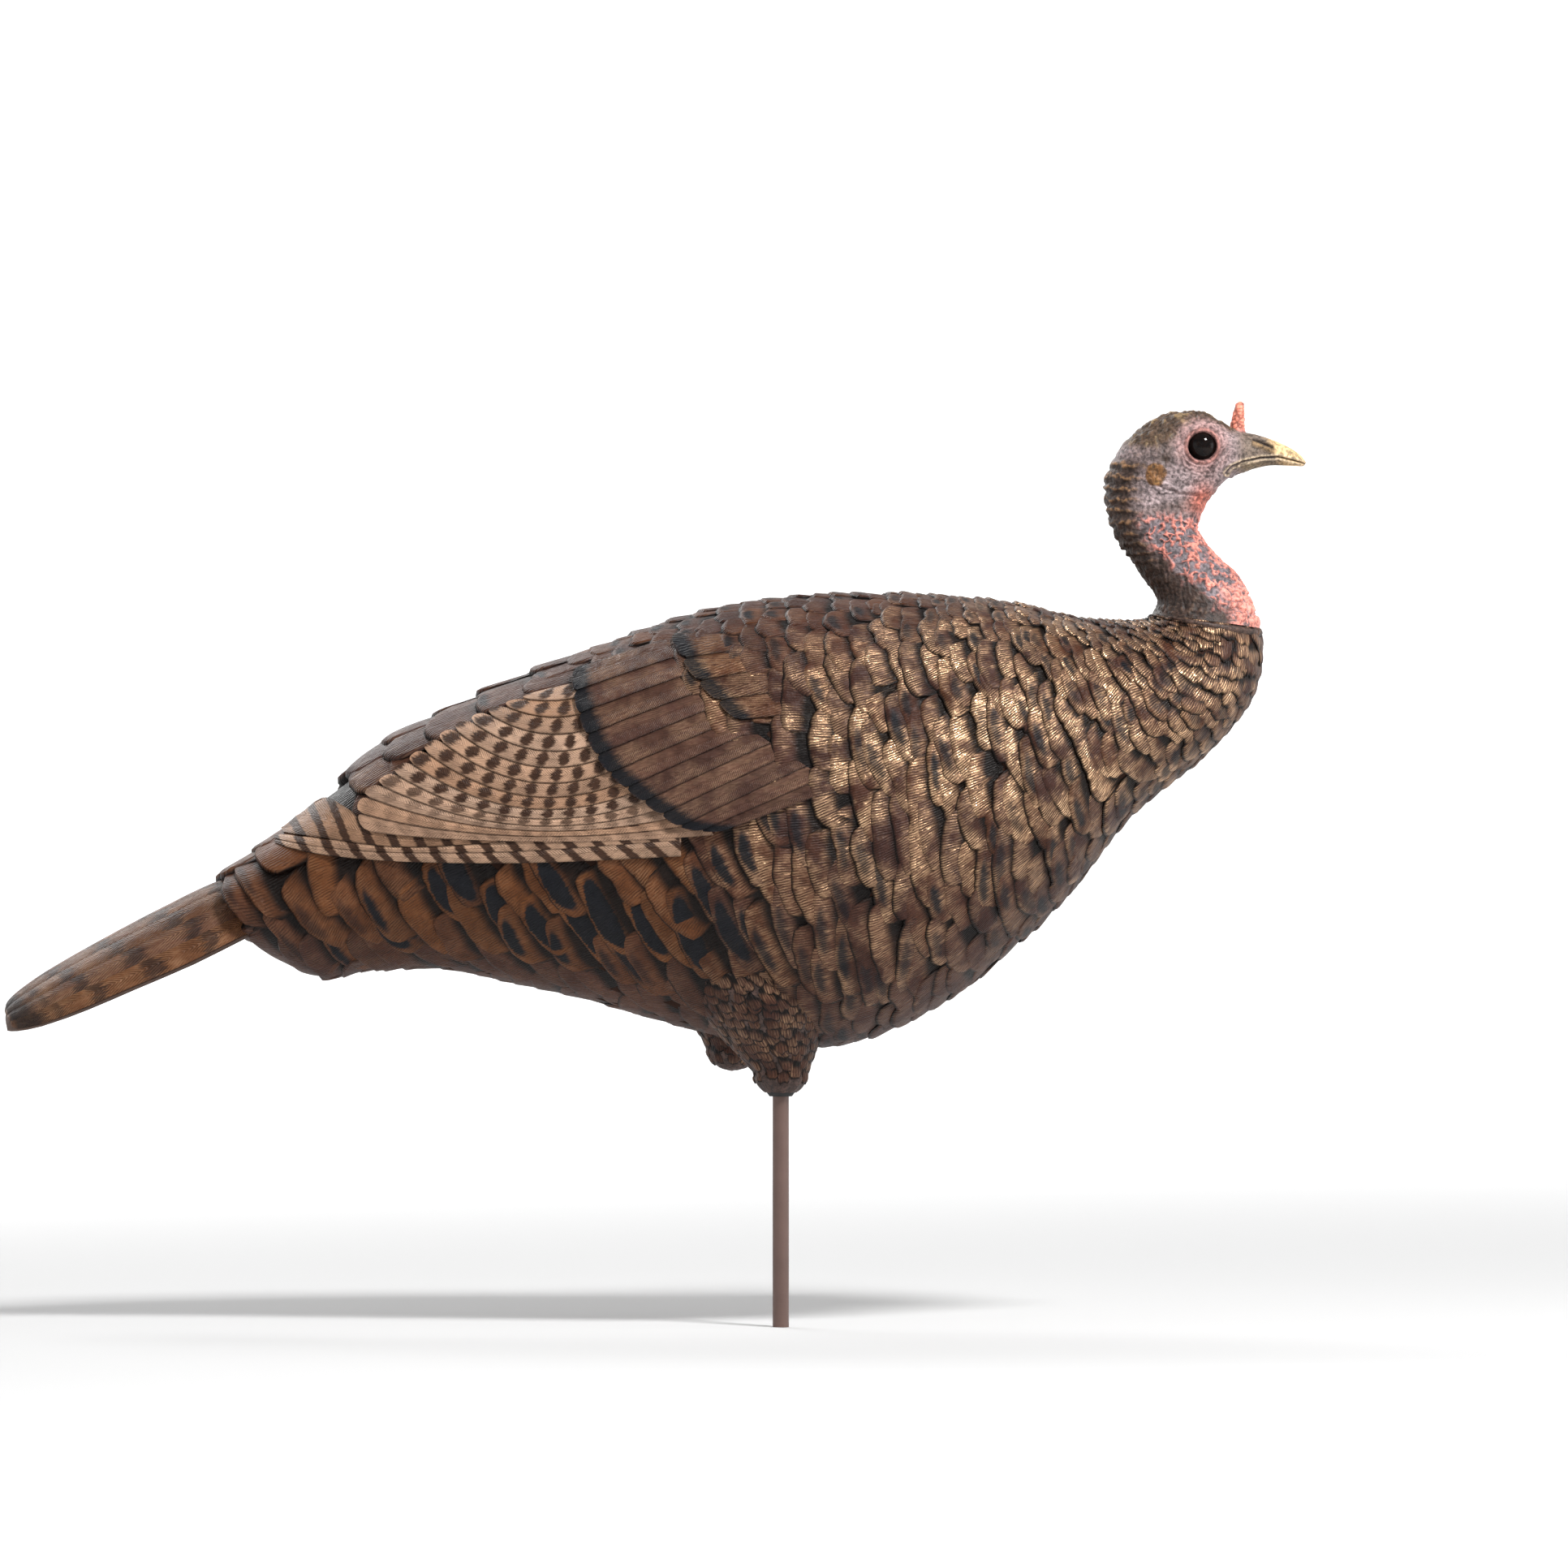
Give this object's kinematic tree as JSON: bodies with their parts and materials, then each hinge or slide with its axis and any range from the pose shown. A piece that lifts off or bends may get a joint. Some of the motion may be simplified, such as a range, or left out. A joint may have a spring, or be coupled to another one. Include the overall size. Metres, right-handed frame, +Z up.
{
  "type": "hen turkey decoy on a ground stake",
  "caption": "Life-size moulded hen turkey decoy with a turning head and a plug-in folded tail, free to swivel on a ground stake.",
  "frame": {"origin": "on the stake's axis, at the level of the ground", "axes": "+X towards the beak, +Y to the bird's left, +Z up along the stake; the bird's middle plane is at y = 0.030"},
  "size_m": [0.761, 0.2194, 0.7398],
  "materials": {
    "feather_plastic": "moulded feathers, brown with bronze drybrush and dark bars",
    "wing_plastic": "moulded feathers, brown, tan and cream with dark spots and bars",
    "tail_plastic": "moulded feathers, brown with dark bars",
    "head_skin": "painted grey-violet, pink and brown over moulded skin",
    "eye_gloss": "glossy black",
    "snood_rubber": "matte coral",
    "inner_plastic": "moulded",
    "black_rubber": "matte",
    "stake_paint": "satin red-brown"
  },
  "bodies": {
    "stake": {"stake_rod": "stake_paint"},
    "bearing": {"swivel_bushing": "inner_plastic"},
    "body": {"body_shell_right": "feather_plastic", "body_shell_left": "feather_plastic", "wing_right": "wing_plastic", "wing_left": "wing_plastic", "stake_sleeve": "inner_plastic", "sleeve_cap": "inner_plastic", "sleeve_brace": "inner_plastic", "stake_grommet": "black_rubber", "neck_socket": "inner_plastic", "tail_socket": "inner_plastic"},
    "grip": {"neck_ring": "black_rubber"},
    "head": {"head_shell": "head_skin", "neck_plug": "inner_plastic", "eye_right": "eye_gloss", "eye_left": "eye_gloss", "snood": "snood_rubber"},
    "tail": {"tail_fan": "tail_plastic"}
  },
  "joints": [
    {"name": "lift_off", "type": "slide", "parent": "stake", "child": "bearing", "axis": [0, 0, 1], "range_m": [0, 0.19]},
    {"name": "swivel", "type": "hinge", "parent": "bearing", "child": "body", "pos_m": [0, 0, 0.2], "axis": [0, 0, 1], "continuous": true},
    {"name": "head_pull", "type": "slide", "parent": "body", "child": "grip", "axis": [0.1204, 0, 0.9927], "range_m": [0, 0.04]},
    {"name": "head_turn", "type": "hinge", "parent": "grip", "child": "head", "pos_m": [0.24875, 0.03, 0.41085], "axis": [0.1204, 0, 0.9927], "range_deg": [-45, 45]},
    {"name": "tail_pull", "type": "slide", "parent": "body", "child": "tail", "axis": [-0.908, 0, -0.419], "range_m": [0, 0.06]}
  ]
}
